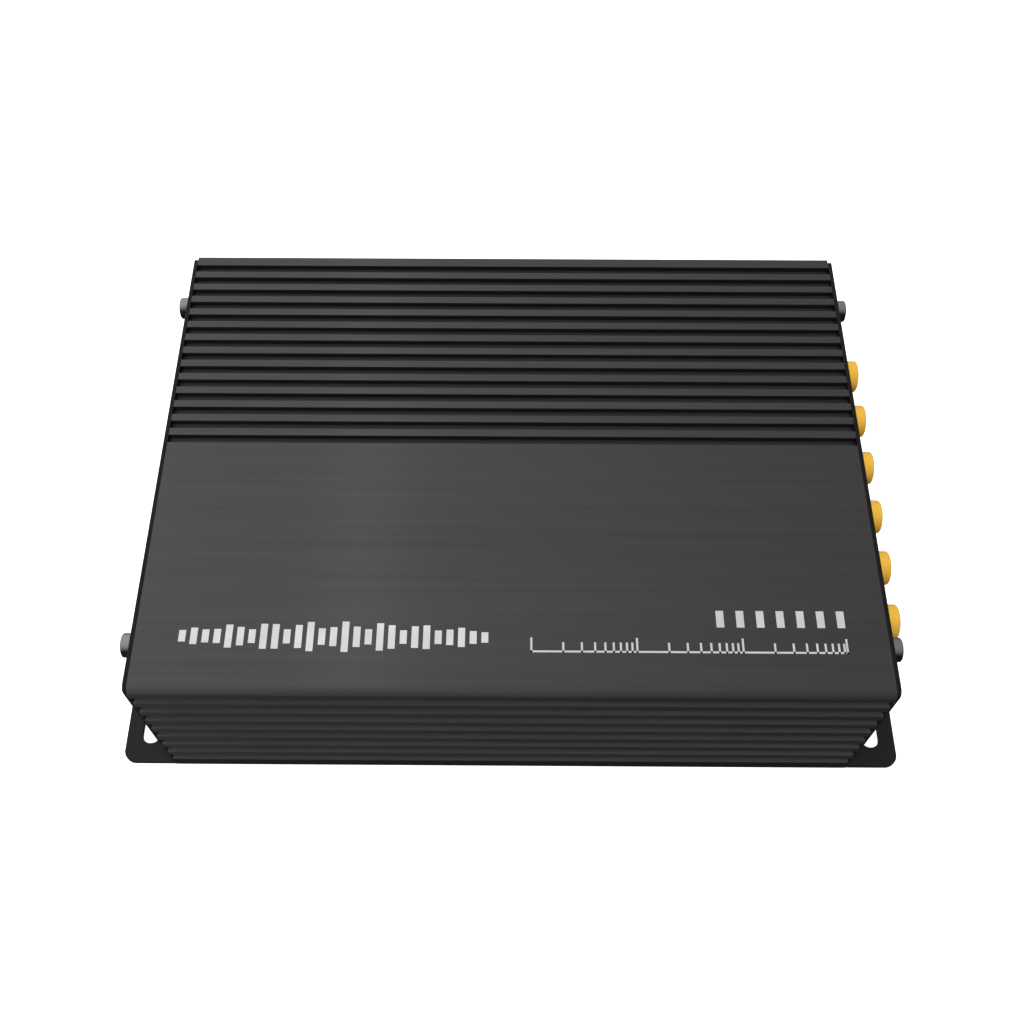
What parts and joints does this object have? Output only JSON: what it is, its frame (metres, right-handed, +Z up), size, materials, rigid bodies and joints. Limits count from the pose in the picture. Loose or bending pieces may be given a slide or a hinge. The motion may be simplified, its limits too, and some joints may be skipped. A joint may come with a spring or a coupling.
{
  "type": "car audio amplifier",
  "caption": "Flat finned aluminium car amplifier with end plates, slotted mounting ears, a row of gold phono sockets on one end and a harness socket and fuse on the other.",
  "frame": {"origin": "centre of the footprint, on the underside of the bottom plate", "axes": "+X along the length towards the phono sockets, -Y out of the front face, +Z up"},
  "size_m": [0.1906, 0.1218, 0.049],
  "materials": {
    "black_extrusion": "black anodised, brushed along the length on the flat part of the top",
    "black_sheet": "satin black powder coat on steel sheet",
    "black_screw": "black oxide steel, slightly polished on the head",
    "zinc_steel": "bright zinc plate",
    "brass_turned": "turned brass",
    "gold_plate": "bright gold plate",
    "tin_plate": "tin plate",
    "board_green": "green solder mask on glass laminate",
    "board_blue": "blue solder mask on glass laminate",
    "fibre_sheet": "pressed insulating fibre",
    "chip_black": "moulded epoxy",
    "connector_black": "moulded nylon, matt",
    "socket_white": "moulded plastic",
    "socket_red": "moulded plastic",
    "capacitor_sleeve": "shrunk plastic sleeve",
    "ceramic_part": "fired ceramic with tinned ends",
    "copper_wire": "enamelled copper wire",
    "powder_core": "epoxy coated pressed iron powder",
    "thermal_sheet": "silicone thermal sheet",
    "fuse_yellow": "clear yellow moulded plastic",
    "lamp_blue": "clear tinted lens"
  },
  "bodies": {
    "amplifier": {"heatsink_shell": "black_extrusion", "bottom_plate": "black_sheet", "end_plate_left": "black_sheet", "end_plate_right": "black_sheet", "end_screws_left": "black_screw", "end_screws_right": "black_screw", "bottom_screws": "black_screw", "insulation_sheet": "fibre_sheet", "standoffs": "brass_turned", "board_screws": "zinc_steel", "main_board": "board_green", "small_parts": "ceramic_part", "thermal_pads": "thermal_sheet", "power_ic_1": "chip_black", "power_ic_2": "chip_black", "power_ic_pins": "tin_plate", "clamp_bar": "zinc_steel", "clamp_screws": "zinc_steel", "reservoir_capacitor_1": "capacitor_sleeve", "reservoir_capacitor_2": "capacitor_sleeve", "reservoir_capacitor_3": "capacitor_sleeve", "channel_capacitors": "capacitor_sleeve", "input_capacitors": "capacitor_sleeve", "choke_core": "powder_core", "choke_winding": "copper_wire", "supply_inductor": "chip_black", "supply_regulator": "chip_black", "dsp_board": "board_blue", "dsp_chip": "chip_black", "converter_chips": "chip_black", "crystal": "zinc_steel", "board_headers": "connector_black", "header_pins": "gold_plate", "rca_housing_1": "connector_black", "rca_housing_2": "connector_black", "rca_housing_3": "connector_black", "rca_shell_1": "gold_plate", "rca_shell_2": "gold_plate", "rca_shell_3": "gold_plate", "rca_shell_4": "gold_plate", "rca_shell_5": "gold_plate", "rca_shell_6": "gold_plate", "rca_insulators_white": "socket_white", "rca_insulators_red": "socket_red", "rca_contacts": "gold_plate", "harness_socket": "connector_black", "harness_pins": "tin_plate", "fuse_holder": "connector_black", "fuse_clips": "brass_turned", "data_socket": "tin_plate", "data_tongue": "connector_black", "status_lamp": "lamp_blue"},
    "fuse": {"fuse_body": "fuse_yellow", "fuse_blades": "tin_plate"}
  },
  "joints": [
    {"name": "fuse_pull", "type": "slide", "parent": "amplifier", "child": "fuse", "axis": [-1, 0, 0], "range_m": [0, 0.025]}
  ]
}
